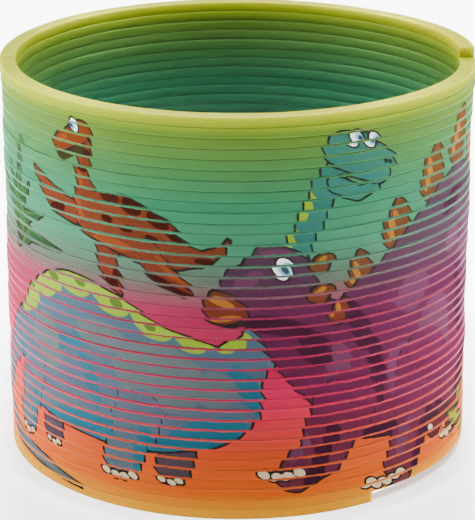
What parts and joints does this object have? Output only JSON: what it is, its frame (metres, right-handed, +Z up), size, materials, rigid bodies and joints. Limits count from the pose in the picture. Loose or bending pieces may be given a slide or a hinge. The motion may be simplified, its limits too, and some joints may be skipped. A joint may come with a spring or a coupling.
{
  "type": "spring coil toy",
  "caption": "Closed coil of one long flat plastic strip, dyed in rainbow bands and printed outside, that stretches, bends into an arch and walks down steps.",
  "frame": {"origin": "on the table, at the coil's axis", "axes": "+Z up along the coil's axis; the front of the print faces -Y; the strip's top end is on the +X side"},
  "size_m": [0.075, 0.075, 0.0643],
  "materials": {
    "amber_plastic": "translucent moulded plastic, printed in thin ink on the outside",
    "orange_plastic": "translucent moulded plastic, printed in thin ink on the outside",
    "coral_plastic": "translucent moulded plastic, printed in thin ink on the outside",
    "crimson_plastic": "translucent moulded plastic, printed in thin ink on the outside",
    "pink_plastic": "translucent moulded plastic, printed in thin ink on the outside",
    "mauve_plastic": "translucent moulded plastic, printed in thin ink on the outside",
    "teal_plastic": "translucent moulded plastic, printed in thin ink on the outside",
    "green_plastic": "translucent moulded plastic, printed in thin ink on the outside",
    "olive_plastic": "translucent moulded plastic, printed in thin ink on the outside",
    "lime_plastic": "translucent moulded plastic, printed in thin ink on the outside"
  },
  "bodies": {
    "bottom_end_arc": {"bottom_end_arc": "amber_plastic"},
    "coil_arc_02": {"coil_arc_02": "amber_plastic"},
    "coil_arc_03": {"coil_arc_03": "amber_plastic"},
    "coil_arc_04": {"coil_arc_04": "amber_plastic"},
    "coil_arc_05": {"coil_arc_05": "amber_plastic"},
    "coil_arc_06": {"coil_arc_06": "amber_plastic"},
    "coil_arc_07": {"coil_arc_07": "orange_plastic"},
    "coil_arc_08": {"coil_arc_08": "orange_plastic"},
    "coil_arc_09": {"coil_arc_09": "orange_plastic"},
    "coil_arc_10": {"coil_arc_10": "orange_plastic"},
    "coil_arc_11": {"coil_arc_11": "orange_plastic"},
    "coil_arc_12": {"coil_arc_12": "orange_plastic"},
    "coil_arc_13": {"coil_arc_13": "coral_plastic"},
    "coil_arc_14": {"coil_arc_14": "coral_plastic"},
    "coil_arc_15": {"coil_arc_15": "coral_plastic"},
    "coil_arc_16": {"coil_arc_16": "coral_plastic"},
    "coil_arc_17": {"coil_arc_17": "coral_plastic"},
    "coil_arc_18": {"coil_arc_18": "crimson_plastic"},
    "coil_arc_19": {"coil_arc_19": "crimson_plastic"},
    "coil_arc_20": {"coil_arc_20": "crimson_plastic"},
    "coil_arc_21": {"coil_arc_21": "crimson_plastic"},
    "coil_arc_22": {"coil_arc_22": "crimson_plastic"},
    "coil_arc_23": {"coil_arc_23": "crimson_plastic"},
    "coil_arc_24": {"coil_arc_24": "pink_plastic"},
    "coil_arc_25": {"coil_arc_25": "pink_plastic"},
    "coil_arc_26": {"coil_arc_26": "pink_plastic"},
    "coil_arc_27": {"coil_arc_27": "pink_plastic"},
    "coil_arc_28": {"coil_arc_28": "pink_plastic"},
    "coil_arc_29": {"coil_arc_29": "pink_plastic"},
    "coil_arc_30": {"coil_arc_30": "mauve_plastic"},
    "coil_arc_31": {"coil_arc_31": "mauve_plastic"},
    "coil_arc_32": {"coil_arc_32": "mauve_plastic"},
    "coil_arc_33": {"coil_arc_33": "mauve_plastic"},
    "coil_arc_34": {"coil_arc_34": "mauve_plastic"},
    "coil_arc_35": {"coil_arc_35": "mauve_plastic"},
    "coil_arc_36": {"coil_arc_36": "teal_plastic"},
    "coil_arc_37": {"coil_arc_37": "teal_plastic"},
    "coil_arc_38": {"coil_arc_38": "teal_plastic"},
    "coil_arc_39": {"coil_arc_39": "teal_plastic"},
    "coil_arc_40": {"coil_arc_40": "teal_plastic"},
    "coil_arc_41": {"coil_arc_41": "teal_plastic"},
    "coil_arc_42": {"coil_arc_42": "green_plastic"},
    "coil_arc_43": {"coil_arc_43": "green_plastic"},
    "coil_arc_44": {"coil_arc_44": "green_plastic"},
    "coil_arc_45": {"coil_arc_45": "green_plastic"},
    "coil_arc_46": {"coil_arc_46": "green_plastic"},
    "coil_arc_47": {"coil_arc_47": "olive_plastic"},
    "coil_arc_48": {"coil_arc_48": "olive_plastic"},
    "coil_arc_49": {"coil_arc_49": "olive_plastic"},
    "coil_arc_50": {"coil_arc_50": "olive_plastic"},
    "coil_arc_51": {"coil_arc_51": "olive_plastic"},
    "coil_arc_52": {"coil_arc_52": "olive_plastic"},
    "coil_arc_53": {"coil_arc_53": "lime_plastic"},
    "coil_arc_54": {"coil_arc_54": "lime_plastic"},
    "coil_arc_55": {"coil_arc_55": "lime_plastic"},
    "coil_arc_56": {"coil_arc_56": "lime_plastic"},
    "coil_arc_57": {"coil_arc_57": "lime_plastic"},
    "top_end_arc": {"top_end_arc": "lime_plastic"}
  },
  "joints": [
    {"name": "bend_back_right_01", "type": "hinge", "parent": "bottom_end_arc", "child": "coil_arc_02", "pos_m": [0.01875, 0.03248, 0.00075], "axis": [-0.866, 0.5, 0], "range_deg": [0, 9.1], "stiffness_Nm_per_rad": 0.018},
    {"name": "bend_left_02", "type": "hinge", "parent": "coil_arc_02", "child": "coil_arc_03", "pos_m": [-0.0375, 0, 0.00238], "axis": [0, -1, 0], "range_deg": [0, 9.1], "stiffness_Nm_per_rad": 0.018},
    {"name": "bend_front_right_03", "type": "hinge", "parent": "coil_arc_03", "child": "coil_arc_04", "pos_m": [0.01875, -0.03248, 0.00401], "axis": [0.866, 0.5, 0], "range_deg": [0, 9.1], "stiffness_Nm_per_rad": 0.018},
    {"name": "bend_back_right_04", "type": "hinge", "parent": "coil_arc_04", "child": "coil_arc_05", "pos_m": [0.01875, 0.03248, 0.00401], "axis": [-0.866, 0.5, 0], "range_deg": [0, 9.1], "stiffness_Nm_per_rad": 0.018},
    {"name": "bend_left_05", "type": "hinge", "parent": "coil_arc_05", "child": "coil_arc_06", "pos_m": [-0.0375, 0, 0.00564], "axis": [0, -1, 0], "range_deg": [0, 9.1], "stiffness_Nm_per_rad": 0.018},
    {"name": "bend_front_right_06", "type": "hinge", "parent": "coil_arc_06", "child": "coil_arc_07", "pos_m": [0.01875, -0.03248, 0.00727], "axis": [0.866, 0.5, 0], "range_deg": [0, 9.1], "stiffness_Nm_per_rad": 0.018},
    {"name": "bend_back_right_07", "type": "hinge", "parent": "coil_arc_07", "child": "coil_arc_08", "pos_m": [0.01875, 0.03248, 0.00727], "axis": [-0.866, 0.5, 0], "range_deg": [0, 9.1], "stiffness_Nm_per_rad": 0.018},
    {"name": "bend_left_08", "type": "hinge", "parent": "coil_arc_08", "child": "coil_arc_09", "pos_m": [-0.0375, 0, 0.0089], "axis": [0, -1, 0], "range_deg": [0, 9.1], "stiffness_Nm_per_rad": 0.018},
    {"name": "bend_front_right_09", "type": "hinge", "parent": "coil_arc_09", "child": "coil_arc_10", "pos_m": [0.01875, -0.03248, 0.01053], "axis": [0.866, 0.5, 0], "range_deg": [0, 9.1], "stiffness_Nm_per_rad": 0.018},
    {"name": "bend_back_right_10", "type": "hinge", "parent": "coil_arc_10", "child": "coil_arc_11", "pos_m": [0.01875, 0.03248, 0.01053], "axis": [-0.866, 0.5, 0], "range_deg": [0, 9.1], "stiffness_Nm_per_rad": 0.018},
    {"name": "bend_left_11", "type": "hinge", "parent": "coil_arc_11", "child": "coil_arc_12", "pos_m": [-0.0375, 0, 0.01216], "axis": [0, -1, 0], "range_deg": [0, 9.1], "stiffness_Nm_per_rad": 0.018},
    {"name": "bend_front_right_12", "type": "hinge", "parent": "coil_arc_12", "child": "coil_arc_13", "pos_m": [0.01875, -0.03248, 0.01379], "axis": [0.866, 0.5, 0], "range_deg": [0, 9.1], "stiffness_Nm_per_rad": 0.018},
    {"name": "bend_back_right_13", "type": "hinge", "parent": "coil_arc_13", "child": "coil_arc_14", "pos_m": [0.01875, 0.03248, 0.01379], "axis": [-0.866, 0.5, 0], "range_deg": [0, 9.1], "stiffness_Nm_per_rad": 0.018},
    {"name": "bend_left_14", "type": "hinge", "parent": "coil_arc_14", "child": "coil_arc_15", "pos_m": [-0.0375, 0, 0.01542], "axis": [0, -1, 0], "range_deg": [0, 9.1], "stiffness_Nm_per_rad": 0.018},
    {"name": "bend_front_right_15", "type": "hinge", "parent": "coil_arc_15", "child": "coil_arc_16", "pos_m": [0.01875, -0.03248, 0.01705], "axis": [0.866, 0.5, 0], "range_deg": [0, 9.1], "stiffness_Nm_per_rad": 0.018},
    {"name": "bend_back_right_16", "type": "hinge", "parent": "coil_arc_16", "child": "coil_arc_17", "pos_m": [0.01875, 0.03248, 0.01705], "axis": [-0.866, 0.5, 0], "range_deg": [0, 9.1], "stiffness_Nm_per_rad": 0.018},
    {"name": "bend_left_17", "type": "hinge", "parent": "coil_arc_17", "child": "coil_arc_18", "pos_m": [-0.0375, 0, 0.01868], "axis": [0, -1, 0], "range_deg": [0, 9.1], "stiffness_Nm_per_rad": 0.018},
    {"name": "bend_front_right_18", "type": "hinge", "parent": "coil_arc_18", "child": "coil_arc_19", "pos_m": [0.01875, -0.03248, 0.02031], "axis": [0.866, 0.5, 0], "range_deg": [0, 9.1], "stiffness_Nm_per_rad": 0.018},
    {"name": "bend_back_right_19", "type": "hinge", "parent": "coil_arc_19", "child": "coil_arc_20", "pos_m": [0.01875, 0.03248, 0.02031], "axis": [-0.866, 0.5, 0], "range_deg": [0, 9.1], "stiffness_Nm_per_rad": 0.018},
    {"name": "bend_left_20", "type": "hinge", "parent": "coil_arc_20", "child": "coil_arc_21", "pos_m": [-0.0375, 0, 0.02194], "axis": [0, -1, 0], "range_deg": [0, 9.1], "stiffness_Nm_per_rad": 0.018},
    {"name": "bend_front_right_21", "type": "hinge", "parent": "coil_arc_21", "child": "coil_arc_22", "pos_m": [0.01875, -0.03248, 0.02357], "axis": [0.866, 0.5, 0], "range_deg": [0, 9.1], "stiffness_Nm_per_rad": 0.018},
    {"name": "bend_back_right_22", "type": "hinge", "parent": "coil_arc_22", "child": "coil_arc_23", "pos_m": [0.01875, 0.03248, 0.02357], "axis": [-0.866, 0.5, 0], "range_deg": [0, 9.1], "stiffness_Nm_per_rad": 0.018},
    {"name": "bend_left_23", "type": "hinge", "parent": "coil_arc_23", "child": "coil_arc_24", "pos_m": [-0.0375, 0, 0.0252], "axis": [0, -1, 0], "range_deg": [0, 9.1], "stiffness_Nm_per_rad": 0.018},
    {"name": "bend_front_right_24", "type": "hinge", "parent": "coil_arc_24", "child": "coil_arc_25", "pos_m": [0.01875, -0.03248, 0.02683], "axis": [0.866, 0.5, 0], "range_deg": [0, 9.1], "stiffness_Nm_per_rad": 0.018},
    {"name": "bend_back_right_25", "type": "hinge", "parent": "coil_arc_25", "child": "coil_arc_26", "pos_m": [0.01875, 0.03248, 0.02683], "axis": [-0.866, 0.5, 0], "range_deg": [0, 9.1], "stiffness_Nm_per_rad": 0.018},
    {"name": "bend_left_26", "type": "hinge", "parent": "coil_arc_26", "child": "coil_arc_27", "pos_m": [-0.0375, 0, 0.02846], "axis": [0, -1, 0], "range_deg": [0, 9.1], "stiffness_Nm_per_rad": 0.018},
    {"name": "bend_front_right_27", "type": "hinge", "parent": "coil_arc_27", "child": "coil_arc_28", "pos_m": [0.01875, -0.03248, 0.03009], "axis": [0.866, 0.5, 0], "range_deg": [0, 9.1], "stiffness_Nm_per_rad": 0.018},
    {"name": "bend_back_right_28", "type": "hinge", "parent": "coil_arc_28", "child": "coil_arc_29", "pos_m": [0.01875, 0.03248, 0.03009], "axis": [-0.866, 0.5, 0], "range_deg": [0, 9.1], "stiffness_Nm_per_rad": 0.018},
    {"name": "bend_left_29", "type": "hinge", "parent": "coil_arc_29", "child": "coil_arc_30", "pos_m": [-0.0375, 0, 0.03172], "axis": [0, -1, 0], "range_deg": [0, 9.1], "stiffness_Nm_per_rad": 0.018},
    {"name": "bend_front_right_30", "type": "hinge", "parent": "coil_arc_30", "child": "coil_arc_31", "pos_m": [0.01875, -0.03248, 0.03335], "axis": [0.866, 0.5, 0], "range_deg": [0, 9.1], "stiffness_Nm_per_rad": 0.018},
    {"name": "bend_back_right_31", "type": "hinge", "parent": "coil_arc_31", "child": "coil_arc_32", "pos_m": [0.01875, 0.03248, 0.03335], "axis": [-0.866, 0.5, 0], "range_deg": [0, 9.1], "stiffness_Nm_per_rad": 0.018},
    {"name": "bend_left_32", "type": "hinge", "parent": "coil_arc_32", "child": "coil_arc_33", "pos_m": [-0.0375, 0, 0.03498], "axis": [0, -1, 0], "range_deg": [0, 9.1], "stiffness_Nm_per_rad": 0.018},
    {"name": "bend_front_right_33", "type": "hinge", "parent": "coil_arc_33", "child": "coil_arc_34", "pos_m": [0.01875, -0.03248, 0.03661], "axis": [0.866, 0.5, 0], "range_deg": [0, 9.1], "stiffness_Nm_per_rad": 0.018},
    {"name": "bend_back_right_34", "type": "hinge", "parent": "coil_arc_34", "child": "coil_arc_35", "pos_m": [0.01875, 0.03248, 0.03661], "axis": [-0.866, 0.5, 0], "range_deg": [0, 9.1], "stiffness_Nm_per_rad": 0.018},
    {"name": "bend_left_35", "type": "hinge", "parent": "coil_arc_35", "child": "coil_arc_36", "pos_m": [-0.0375, 0, 0.03824], "axis": [0, -1, 0], "range_deg": [0, 9.1], "stiffness_Nm_per_rad": 0.018},
    {"name": "bend_front_right_36", "type": "hinge", "parent": "coil_arc_36", "child": "coil_arc_37", "pos_m": [0.01875, -0.03248, 0.03987], "axis": [0.866, 0.5, 0], "range_deg": [0, 9.1], "stiffness_Nm_per_rad": 0.018},
    {"name": "bend_back_right_37", "type": "hinge", "parent": "coil_arc_37", "child": "coil_arc_38", "pos_m": [0.01875, 0.03248, 0.03987], "axis": [-0.866, 0.5, 0], "range_deg": [0, 9.1], "stiffness_Nm_per_rad": 0.018},
    {"name": "bend_left_38", "type": "hinge", "parent": "coil_arc_38", "child": "coil_arc_39", "pos_m": [-0.0375, 0, 0.0415], "axis": [0, -1, 0], "range_deg": [0, 9.1], "stiffness_Nm_per_rad": 0.018},
    {"name": "bend_front_right_39", "type": "hinge", "parent": "coil_arc_39", "child": "coil_arc_40", "pos_m": [0.01875, -0.03248, 0.04313], "axis": [0.866, 0.5, 0], "range_deg": [0, 9.1], "stiffness_Nm_per_rad": 0.018},
    {"name": "bend_back_right_40", "type": "hinge", "parent": "coil_arc_40", "child": "coil_arc_41", "pos_m": [0.01875, 0.03248, 0.04313], "axis": [-0.866, 0.5, 0], "range_deg": [0, 9.1], "stiffness_Nm_per_rad": 0.018},
    {"name": "bend_left_41", "type": "hinge", "parent": "coil_arc_41", "child": "coil_arc_42", "pos_m": [-0.0375, 0, 0.04476], "axis": [0, -1, 0], "range_deg": [0, 9.1], "stiffness_Nm_per_rad": 0.018},
    {"name": "bend_front_right_42", "type": "hinge", "parent": "coil_arc_42", "child": "coil_arc_43", "pos_m": [0.01875, -0.03248, 0.04639], "axis": [0.866, 0.5, 0], "range_deg": [0, 9.1], "stiffness_Nm_per_rad": 0.018},
    {"name": "bend_back_right_43", "type": "hinge", "parent": "coil_arc_43", "child": "coil_arc_44", "pos_m": [0.01875, 0.03248, 0.04639], "axis": [-0.866, 0.5, 0], "range_deg": [0, 9.1], "stiffness_Nm_per_rad": 0.018},
    {"name": "bend_left_44", "type": "hinge", "parent": "coil_arc_44", "child": "coil_arc_45", "pos_m": [-0.0375, 0, 0.04802], "axis": [0, -1, 0], "range_deg": [0, 9.1], "stiffness_Nm_per_rad": 0.018},
    {"name": "bend_front_right_45", "type": "hinge", "parent": "coil_arc_45", "child": "coil_arc_46", "pos_m": [0.01875, -0.03248, 0.04965], "axis": [0.866, 0.5, 0], "range_deg": [0, 9.1], "stiffness_Nm_per_rad": 0.018},
    {"name": "bend_back_right_46", "type": "hinge", "parent": "coil_arc_46", "child": "coil_arc_47", "pos_m": [0.01875, 0.03248, 0.04965], "axis": [-0.866, 0.5, 0], "range_deg": [0, 9.1], "stiffness_Nm_per_rad": 0.018},
    {"name": "bend_left_47", "type": "hinge", "parent": "coil_arc_47", "child": "coil_arc_48", "pos_m": [-0.0375, 0, 0.05128], "axis": [0, -1, 0], "range_deg": [0, 9.1], "stiffness_Nm_per_rad": 0.018},
    {"name": "bend_front_right_48", "type": "hinge", "parent": "coil_arc_48", "child": "coil_arc_49", "pos_m": [0.01875, -0.03248, 0.05291], "axis": [0.866, 0.5, 0], "range_deg": [0, 9.1], "stiffness_Nm_per_rad": 0.018},
    {"name": "bend_back_right_49", "type": "hinge", "parent": "coil_arc_49", "child": "coil_arc_50", "pos_m": [0.01875, 0.03248, 0.05291], "axis": [-0.866, 0.5, 0], "range_deg": [0, 9.1], "stiffness_Nm_per_rad": 0.018},
    {"name": "bend_left_50", "type": "hinge", "parent": "coil_arc_50", "child": "coil_arc_51", "pos_m": [-0.0375, 0, 0.05454], "axis": [0, -1, 0], "range_deg": [0, 9.1], "stiffness_Nm_per_rad": 0.018},
    {"name": "bend_front_right_51", "type": "hinge", "parent": "coil_arc_51", "child": "coil_arc_52", "pos_m": [0.01875, -0.03248, 0.05617], "axis": [0.866, 0.5, 0], "range_deg": [0, 9.1], "stiffness_Nm_per_rad": 0.018},
    {"name": "bend_back_right_52", "type": "hinge", "parent": "coil_arc_52", "child": "coil_arc_53", "pos_m": [0.01875, 0.03248, 0.05617], "axis": [-0.866, 0.5, 0], "range_deg": [0, 9.1], "stiffness_Nm_per_rad": 0.018},
    {"name": "bend_left_53", "type": "hinge", "parent": "coil_arc_53", "child": "coil_arc_54", "pos_m": [-0.0375, 0, 0.0578], "axis": [0, -1, 0], "range_deg": [0, 9.1], "stiffness_Nm_per_rad": 0.018},
    {"name": "bend_front_right_54", "type": "hinge", "parent": "coil_arc_54", "child": "coil_arc_55", "pos_m": [0.01875, -0.03248, 0.05943], "axis": [0.866, 0.5, 0], "range_deg": [0, 9.1], "stiffness_Nm_per_rad": 0.018},
    {"name": "bend_back_right_55", "type": "hinge", "parent": "coil_arc_55", "child": "coil_arc_56", "pos_m": [0.01875, 0.03248, 0.05943], "axis": [-0.866, 0.5, 0], "range_deg": [0, 9.1], "stiffness_Nm_per_rad": 0.018},
    {"name": "bend_left_56", "type": "hinge", "parent": "coil_arc_56", "child": "coil_arc_57", "pos_m": [-0.0375, 0, 0.06106], "axis": [0, -1, 0], "range_deg": [0, 9.1], "stiffness_Nm_per_rad": 0.018},
    {"name": "bend_front_right_57", "type": "hinge", "parent": "coil_arc_57", "child": "top_end_arc", "pos_m": [0.01875, -0.03248, 0.06269], "axis": [0.866, 0.5, 0], "range_deg": [0, 9.1], "stiffness_Nm_per_rad": 0.018}
  ],
  "couplings": [
    {"joint": "bend_back_right_04", "follows": "bend_back_right_01", "ratio": 1},
    {"joint": "bend_left_05", "follows": "bend_left_02", "ratio": 1},
    {"joint": "bend_front_right_06", "follows": "bend_front_right_03", "ratio": 1},
    {"joint": "bend_back_right_07", "follows": "bend_back_right_01", "ratio": 1},
    {"joint": "bend_left_08", "follows": "bend_left_02", "ratio": 1},
    {"joint": "bend_front_right_09", "follows": "bend_front_right_03", "ratio": 1},
    {"joint": "bend_back_right_10", "follows": "bend_back_right_01", "ratio": 1},
    {"joint": "bend_left_11", "follows": "bend_left_02", "ratio": 1},
    {"joint": "bend_front_right_12", "follows": "bend_front_right_03", "ratio": 1},
    {"joint": "bend_back_right_13", "follows": "bend_back_right_01", "ratio": 1},
    {"joint": "bend_left_14", "follows": "bend_left_02", "ratio": 1},
    {"joint": "bend_front_right_15", "follows": "bend_front_right_03", "ratio": 1},
    {"joint": "bend_back_right_16", "follows": "bend_back_right_01", "ratio": 1},
    {"joint": "bend_left_17", "follows": "bend_left_02", "ratio": 1},
    {"joint": "bend_front_right_18", "follows": "bend_front_right_03", "ratio": 1},
    {"joint": "bend_back_right_19", "follows": "bend_back_right_01", "ratio": 1},
    {"joint": "bend_left_20", "follows": "bend_left_02", "ratio": 1},
    {"joint": "bend_front_right_21", "follows": "bend_front_right_03", "ratio": 1},
    {"joint": "bend_back_right_22", "follows": "bend_back_right_01", "ratio": 1},
    {"joint": "bend_left_23", "follows": "bend_left_02", "ratio": 1},
    {"joint": "bend_front_right_24", "follows": "bend_front_right_03", "ratio": 1},
    {"joint": "bend_back_right_25", "follows": "bend_back_right_01", "ratio": 1},
    {"joint": "bend_left_26", "follows": "bend_left_02", "ratio": 1},
    {"joint": "bend_front_right_27", "follows": "bend_front_right_03", "ratio": 1},
    {"joint": "bend_back_right_28", "follows": "bend_back_right_01", "ratio": 1},
    {"joint": "bend_left_29", "follows": "bend_left_02", "ratio": 1},
    {"joint": "bend_front_right_30", "follows": "bend_front_right_03", "ratio": 1},
    {"joint": "bend_back_right_31", "follows": "bend_back_right_01", "ratio": 1},
    {"joint": "bend_left_32", "follows": "bend_left_02", "ratio": 1},
    {"joint": "bend_front_right_33", "follows": "bend_front_right_03", "ratio": 1},
    {"joint": "bend_back_right_34", "follows": "bend_back_right_01", "ratio": 1},
    {"joint": "bend_left_35", "follows": "bend_left_02", "ratio": 1},
    {"joint": "bend_front_right_36", "follows": "bend_front_right_03", "ratio": 1},
    {"joint": "bend_back_right_37", "follows": "bend_back_right_01", "ratio": 1},
    {"joint": "bend_left_38", "follows": "bend_left_02", "ratio": 1},
    {"joint": "bend_front_right_39", "follows": "bend_front_right_03", "ratio": 1},
    {"joint": "bend_back_right_40", "follows": "bend_back_right_01", "ratio": 1},
    {"joint": "bend_left_41", "follows": "bend_left_02", "ratio": 1},
    {"joint": "bend_front_right_42", "follows": "bend_front_right_03", "ratio": 1},
    {"joint": "bend_back_right_43", "follows": "bend_back_right_01", "ratio": 1},
    {"joint": "bend_left_44", "follows": "bend_left_02", "ratio": 1},
    {"joint": "bend_front_right_45", "follows": "bend_front_right_03", "ratio": 1},
    {"joint": "bend_back_right_46", "follows": "bend_back_right_01", "ratio": 1},
    {"joint": "bend_left_47", "follows": "bend_left_02", "ratio": 1},
    {"joint": "bend_front_right_48", "follows": "bend_front_right_03", "ratio": 1},
    {"joint": "bend_back_right_49", "follows": "bend_back_right_01", "ratio": 1},
    {"joint": "bend_left_50", "follows": "bend_left_02", "ratio": 1},
    {"joint": "bend_front_right_51", "follows": "bend_front_right_03", "ratio": 1},
    {"joint": "bend_back_right_52", "follows": "bend_back_right_01", "ratio": 1},
    {"joint": "bend_left_53", "follows": "bend_left_02", "ratio": 1},
    {"joint": "bend_front_right_54", "follows": "bend_front_right_03", "ratio": 1},
    {"joint": "bend_back_right_55", "follows": "bend_back_right_01", "ratio": 1},
    {"joint": "bend_left_56", "follows": "bend_left_02", "ratio": 1},
    {"joint": "bend_front_right_57", "follows": "bend_front_right_03", "ratio": 1}
  ]
}
